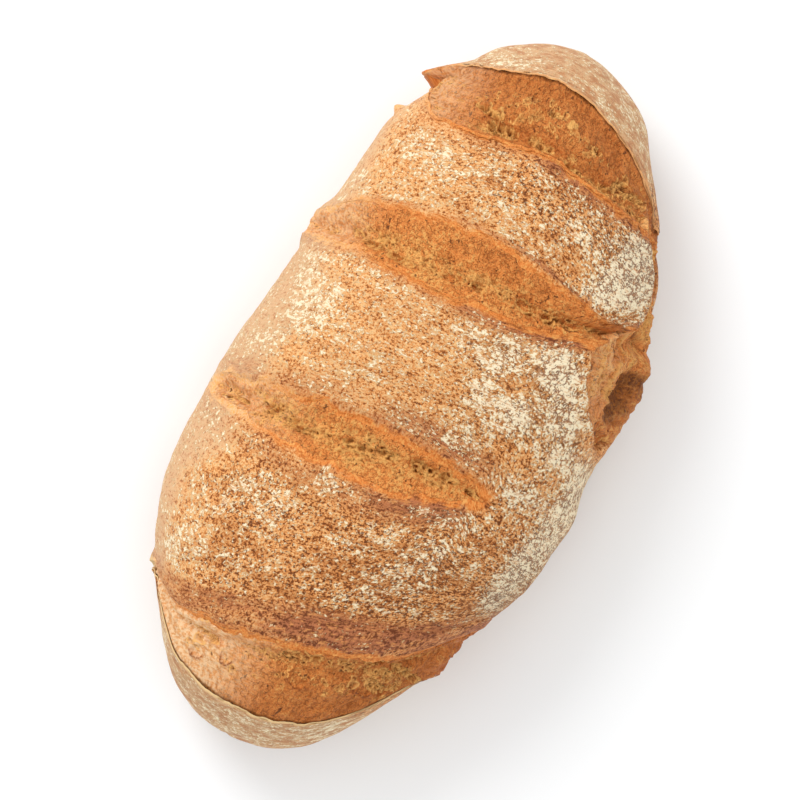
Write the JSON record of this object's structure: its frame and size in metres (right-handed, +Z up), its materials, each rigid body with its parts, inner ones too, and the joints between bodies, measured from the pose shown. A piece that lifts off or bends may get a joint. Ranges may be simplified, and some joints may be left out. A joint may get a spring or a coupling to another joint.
{
  "type": "spelt sourdough loaf",
  "caption": "Long oval hearth loaf with a domed, flour-dusted crust, open crosswise slashes, a torn side and a flat underside.",
  "frame": {"origin": "middle of the loaf's box, on the surface that its flat underside rests on", "axes": "+X along the loaf towards the end with the narrower slashed cap, +Y towards the whole flank, -Y towards the torn flank, +Z up"},
  "size_m": [0.2911, 0.1478, 0.0925],
  "materials": {
    "crust": "dry matte baked crust dusted with flour"
  },
  "bodies": {
    "root": {"loaf": "crust"}
  },
  "joints": []
}
